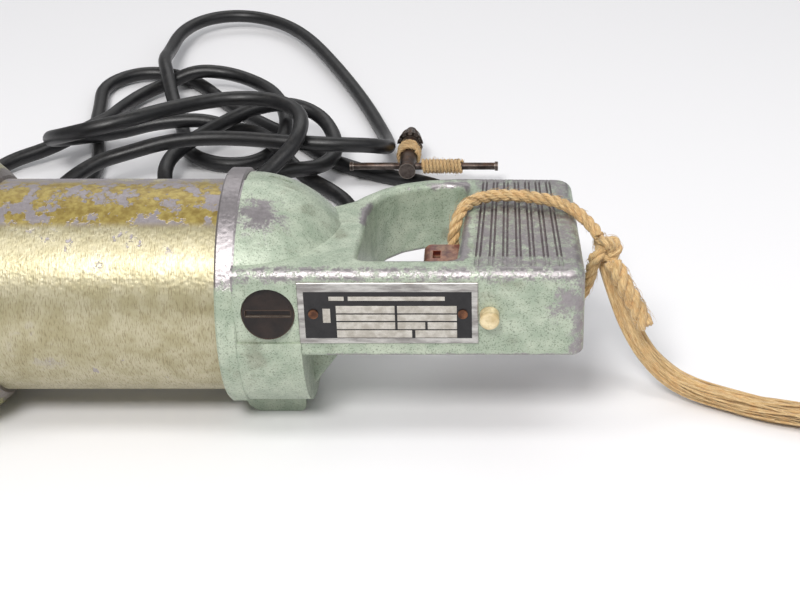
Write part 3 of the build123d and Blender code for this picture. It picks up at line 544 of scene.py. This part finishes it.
# ------------------------------------------------------------------ nameplate
def mesh_piece(name, body, slot, *materials, smooth=False):
    """Make an object of a bmesh, on the tool, with its materials; slot is not used."""
    mesh = bpy.data.meshes.new(name)
    body.to_mesh(mesh)
    body.free()
    for material in materials:
        mesh.materials.append(material)
    if smooth:
        mesh.shade_smooth()
    obj = bpy.data.objects.new(name, mesh)
    bpy.context.scene.collection.objects.link(obj)
    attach(obj, BASE)
    return obj


def pad(body, x0, x1, z0, z1, back, front, material, chamfer):
    """A thin raised pad on the nameplate: square at its back and chamfered to its front."""
    rings = []
    for y, inset in ((back, 0.0), (front + chamfer, 0.0), (front, chamfer)):
        left, right, bottom, top = x0 + inset, x1 - inset, z0 + inset, z1 - inset
        rings.append([body.verts.new((x, y, z)) for x, z in (
            (left, bottom), (right, bottom), (right, top), (left, top))])
    for lower, higher in zip(rings, rings[1:]):
        for corner in range(4):
            after = (corner + 1) % 4
            face = body.faces.new((lower[corner], lower[after], higher[after], higher[corner]))
            face.material_index = material
    body.faces.new(rings[-1]).material_index = material


plate_low, plate_high = (Vector(corner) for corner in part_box("nameplate"))
FACE = plate_low.y
MM = 0.001
FIELD_RISE, SPOT_RISE, SOFTENED = 0.08 * MM, 0.08 * MM, 0.04 * MM
plate = bmesh.new()
pad(plate, plate_low.x, plate_high.x, plate_low.z, plate_high.z, plate_high.y, FACE, 0, 0.25 * MM)
field_x = (plate_low.x + 2.3 * MM, plate_high.x - 2.3 * MM)
field_z = (plate_low.z + 2.4 * MM, plate_high.z - 3.6 * MM)
pad(plate, *field_x, *field_z, FACE, FACE - FIELD_RISE, 1, SOFTENED)


def field_spot(u0, u1, v0, v1, material=2):
    """A pad on the dark field; u runs along it and v down it, both from 0 to 1."""
    wide, tall = field_x[1] - field_x[0], field_z[1] - field_z[0]
    pad(plate, field_x[0] + u0 * wide, field_x[0] + u1 * wide, field_z[1] - v1 * tall,
        field_z[1] - v0 * tall, FACE - FIELD_RISE, FACE - FIELD_RISE - SPOT_RISE, material, SOFTENED)


# Blank cells and bars: left and right, then top and bottom, as shares of the dark field.
CELLS = (
    (0.19, 0.54, 0.30, 0.455), (0.555, 0.91, 0.30, 0.455), (0.19, 0.54, 0.487, 0.62),
    (0.555, 0.91, 0.487, 0.62), (0.19, 0.54, 0.655, 0.80), (0.555, 0.72, 0.655, 0.80),
    (0.735, 0.91, 0.655, 0.80), (0.19, 0.64, 0.83, 0.985), (0.66, 0.91, 0.83, 0.985),
    (0.15, 0.24, 0.10, 0.185), (0.265, 0.84, 0.10, 0.185), (0.11, 0.155, 0.36, 0.66),
)
for cell in CELLS:
    field_spot(*cell)
black_field = plain("nameplate_black_enamel", (34, 32, 34), (20, 19, 21), 0.4, 0.1, 1.2, 0.03)
pale_cell = plain("nameplate_pale_cells", (198, 194, 186), (166, 160, 150), 0.42, 0.5, 0.9, 0.03)
plate_piece = mesh_piece("nameplate_looks", plate, "nameplate_metal", MATERIALS["nameplate_metal"],
                         black_field, pale_cell)
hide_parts("nameplate")


# ------------------------------------------------------------------ twine
def centre_line(route, spacing=0.7):
    """Even points, millimetres, along the route's own NURBS line."""
    wire = nurbs("line", route, 0)
    wire.data.bevel_depth = 0
    wire.data.use_fill_caps = False
    wire.data.resolution_u = 24
    drawn = bpy.data.meshes.new_from_object(wire)
    points = [vertex.co.copy() / MM for vertex in drawn.vertices]
    curve = wire.data
    bpy.data.objects.remove(wire)
    bpy.data.curves.remove(curve)
    bpy.data.meshes.remove(drawn)
    return even(points, spacing)


def even(points, spacing):
    """The same line with points this many millimetres apart."""
    reach = [0.0]
    for first, second in zip(points, points[1:]):
        reach.append(reach[-1] + (second - first).length)
    count = max(3, round(reach[-1] / spacing))
    result, index = [], 0
    for step in range(count + 1):
        target = reach[-1] * step / count
        while index < len(points) - 2 and reach[index + 1] < target:
            index += 1
        span = reach[index + 1] - reach[index]
        result.append(points[index].lerp(points[index + 1], (target - reach[index]) / span if span else 0))
    return result


def frames_along(points):
    """A side and a second side for every point, turned as little as possible from one to the next."""
    side, result = None, []
    for index, point in enumerate(points):
        ahead = (points[min(index + 1, len(points) - 1)] - points[max(index - 1, 0)]).normalized()
        if side is None:
            side = ahead.orthogonal().normalized()
        side = (side - ahead * side.dot(ahead)).normalized()
        result.append((side, ahead.cross(side)))
    return result


def spoke(sides, turn):
    """The direction that far round from the first of two sides."""
    return sides[0] * math.cos(turn) + sides[1] * math.sin(turn)


FIBRE_RUN = 0.16    # the fibre layer's scale along a yarn, which stretches its streaks
FIBRE_ROUND = 1.6   # and round it


def yarn(body, points, radius, sides, shade, taper=False):
    """A thin tube; the fibre layer holds where on the yarn a point is, for the material."""
    layer = body.verts.layers.float_vector["fibre"]
    last, rings, run = len(points) - 1, [], 0.0
    for index, (point, across) in enumerate(zip(points, frames_along(points))):
        if index:
            run += (point - points[index - 1]).length
        thick = radius * (1 if not taper else max(0.25, 1 - 0.75 * index / last))
        ring = []
        for corner in range(sides):
            turn = 2 * math.pi * corner / sides
            vertex = body.verts.new((point + spoke(across, turn) * thick) * MM)
            vertex[layer] = Vector((run * FIBRE_RUN, FIBRE_ROUND * math.cos(turn) + shade,
                                    FIBRE_ROUND * math.sin(turn) + shade * 3))
            ring.append(vertex)
        rings.append(ring)
    for lower, higher in zip(rings, rings[1:]):
        for corner in range(sides):
            after = (corner + 1) % sides
            body.faces.new((lower[corner], lower[after], higher[after], higher[corner]))
    body.faces.new(list(reversed(rings[0])))
    body.faces.new(rings[-1])


STRANDS, PLIES = 3, 5
STRAND_SIZE, STRAND_OUT = 0.52, 0.48    # a strand's radius and its place, as shares of the rope's radius
PLY_SIZE, PLY_OUT = 0.52, 0.5           # the same for a ply in its strand


def rope(body, line, radius, rng, pitch=13.0, fuzz=0.8):
    """Twisted strands on a line, each of a few plies, with stray fibres that lift off them."""
    sides = frames_along(line)
    strand = radius * STRAND_SIZE
    spacing = (line[1] - line[0]).length
    for number in range(STRANDS):
        path = []
        for index, (point, across) in enumerate(zip(line, sides)):
            turn = 2 * math.pi * (number / STRANDS + index * spacing / pitch)
            path.append(point + spoke(across, turn) * radius * STRAND_OUT)
        around = frames_along(path)
        for ply in range(PLIES):
            plied = []
            for index, (point, across) in enumerate(zip(path, around)):
                turn = 2 * math.pi * (ply / PLIES - index * spacing / (pitch * 0.75))
                wobble = 1 + 0.12 * math.sin(index * 0.45 + ply * 2.1 + number)
                plied.append(point + spoke(across, turn) * strand * PLY_OUT * wobble)
            yarn(body, plied, strand * PLY_SIZE, 6, rng.uniform(0, 9))
    for _ in range(int(len(line) * fuzz)):
        start = rng.randrange(0, max(1, len(line) - 6))
        length = rng.randrange(5, 13)
        turn, lift, path = rng.uniform(0, 2 * math.pi), 0.0, []
        rise = rng.uniform(0.03, 0.17)
        for index in range(start, min(start + length, len(line))):
            path.append(line[index] + spoke(sides[index], turn) * (radius * 0.98 + lift))
            turn += 0.22
            lift += rise
        if len(path) > 2:
            yarn(body, path, rng.uniform(0.07, 0.15), 4, rng.uniform(0, 9), taper=True)


def new_twine():
    """An empty bmesh with the fibre layer that yarn() fills."""
    body = bmesh.new()
    body.verts.layers.float_vector.new("fibre")
    return body


JUTE = MATERIALS["jute"]
rng = random.Random(11)
KNOT_PLACE = Vector((187.5, -3.5, 66.5))
KNOT_LEAN = mathutils.Euler((0, math.radians(35), 0))
KNOT_STEPS = 96
knot = new_twine()
trefoil = []
for step in range(KNOT_STEPS + 1):
    turn = 2 * math.pi * step / KNOT_STEPS
    lobe = Vector((1.25 * (math.sin(turn) + 2 * math.sin(2 * turn)), -2.48 * math.sin(3 * turn),
                   1.85 * (math.cos(turn) - 2 * math.cos(2 * turn))))
    lobe.rotate(KNOT_LEAN)
    trefoil.append(lobe + KNOT_PLACE + SHIFT)
rope(knot, even(trefoil, 0.7), 2.3, rng)
knot_piece = mesh_piece("twine_knot_looks", knot, "jute", JUTE, smooth=True)
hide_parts("twine_knot")

fold = new_twine()
rope(fold, centre_line(FOLD_ROUTE), 3.7, rng, pitch=17, fuzz=1.4)
fold_piece = mesh_piece("twine_fold_looks", fold, "jute", JUTE, smooth=True)
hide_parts("twine_fold")

loop = new_twine()
loop_line = centre_line(LOOP_ROUTE)
rope(loop, loop_line, 2.5, rng)
loop_piece = mesh_piece("twine_loop_looks", loop, "jute", JUTE, smooth=True)
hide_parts("twine_loop")
[point * MM for point in loop_line]

TAIL_FIBRES = 120
CORE_YARNS, CORE_R = 14, 3.4    # full-length yarns inside the loose fibres
GOLDEN_TURN = 2.4               # spreads them evenly
tail = new_twine()
tail_line = centre_line(TAIL_ROUTE, 2.0)
tail_sides = frames_along(tail_line)
for number in range(CORE_YARNS):
    reach, turn = CORE_R * math.sqrt(number / CORE_YARNS), GOLDEN_TURN * number
    yarn(tail, [point + spoke(across, turn + 0.02 * index) * reach
                for index, (point, across) in enumerate(zip(tail_line, tail_sides))],
         1.15, 7, rng.uniform(0, 30))
for number in range(TAIL_FIBRES):
    reach = math.sqrt(rng.uniform(0.02, 1.0))
    turn = rng.uniform(0, 2 * math.pi)
    first = rng.randrange(0, 5)
    last = len(tail_line) - (0, rng.randrange(0, 6), rng.randrange(0, 3), rng.randrange(5, 28))[number % 4]
    wave, phase = rng.uniform(0.06, 0.2), rng.uniform(0, 6)
    path = []
    for index in range(first, last):
        along = index / (len(tail_line) - 1)
        wide = (2.9 + 2.9 * along) * reach
        angle = turn + 1.5 * along * math.sin(phase) + 0.3 * math.sin(index * wave + phase)
        wide *= 1 + 0.10 * math.sin(index * wave * 2 + phase * 2)
        spot = tail_line[index] + spoke(tail_sides[index], angle) * wide
        spot.z = max(spot.z, 0.4 + 0.2 * reach)
        path.append(spot)
    yarn(tail, path, rng.uniform(0.32, 0.62), 5, rng.uniform(0, 30), taper=number % 2 == 0)
tail_piece = mesh_piece("twine_tail_looks", tail, "jute", JUTE, smooth=True)
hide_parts("twine_tail")
[point * MM for point in tail_line]

tie = new_twine()
STEPS_A_TURN = 24


def wraps(start, axis, radius, turns, pitch):
    """A close helix of twine round a shank that starts at a point and runs along an axis."""
    start, axis = Vector(start) + SHIFT, Vector(axis)
    side = axis.orthogonal().normalized()
    across = (side, axis.cross(side))
    path = []
    for step in range(turns * STEPS_A_TURN + 1):
        done = step / STEPS_A_TURN
        path.append(start + axis * pitch * done + spoke(across, 2 * math.pi * done) * radius)
    return even(path, 0.7)


LASHING = {"radius": 0.95, "rng": rng, "pitch": 6, "fuzz": 0.5}
rope(tie, wraps((100.5, 196.0, 12.6), (0, 1, 0), 5.3, 5, 1.8), **LASHING)
rope(tie, wraps((108.2, 186.0, 12.6), (1, 0, 0), 2.9, 11, 1.8), **LASHING)
tie_piece = mesh_piece("twine_tie_looks", tie, "jute", JUTE, smooth=True)
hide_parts("twine_tie")

# ------------------------------------------------------------------ floor
floor_mesh = bpy.data.meshes.new("floor")
floor_mesh.from_pydata([(-4, -4, 0), (4, -4, 0), (4, 4, 0), (-4, 4, 0)], [], [(0, 1, 2, 3)])
floor = bpy.data.objects.new("floor", floor_mesh)
floor.location.z = -0.0002
bpy.context.scene.collection.objects.link(floor)
floor_material = bpy.data.materials.new("paper_floor")
floor_material.use_nodes = True
floor_shader = floor_material.node_tree.nodes["Principled BSDF"]
floor_shader.inputs["Base Color"].default_value = (0.83, 0.825, 0.84, 1)
floor_shader.inputs["Roughness"].default_value = 0.75
floor_mesh.materials.append(floor_material)
